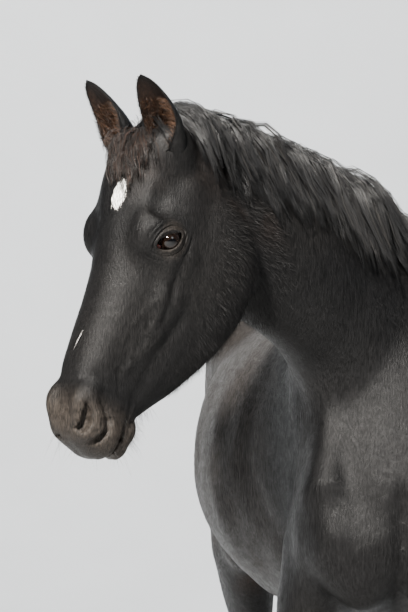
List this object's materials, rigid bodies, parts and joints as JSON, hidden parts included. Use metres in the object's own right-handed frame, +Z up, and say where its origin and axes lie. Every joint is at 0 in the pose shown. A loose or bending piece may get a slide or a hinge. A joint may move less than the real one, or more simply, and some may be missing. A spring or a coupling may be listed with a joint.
{
  "type": "horse",
  "caption": "Life-size young black horse standing still with its neck bent to its right, ears forward, a short mane falling on the left and a small white star on the forehead.",
  "frame": {"origin": "middle of the whole outline on the floor, under the barrel", "axes": "+Z up, +Y from the chest towards the tail, +X towards the animal's left side"},
  "size_m": [0.9784, 2.0004, 1.8833],
  "materials": {
    "coat": "short black coat over skin, satin, with one small white star on the forehead",
    "long_hair": "long black hair in loose locks, slightly wavy",
    "horn": "dark hoof horn with fine growth rings",
    "eye": "wet dark brown eye"
  },
  "bodies": {
    "root": {"trunk": "coat", "neck": "coat", "head": "coat", "mane": "long_hair", "forelock": "long_hair", "tail": "long_hair", "ear_left": "coat", "eye_left": "eye", "leg_fore_left": "coat", "hoof_fore_left": "horn", "leg_hind_left": "coat", "hoof_hind_left": "horn", "ear_right": "coat", "eye_right": "eye", "leg_fore_right": "coat", "hoof_fore_right": "horn", "leg_hind_right": "coat", "hoof_hind_right": "horn"}
  },
  "joints": []
}
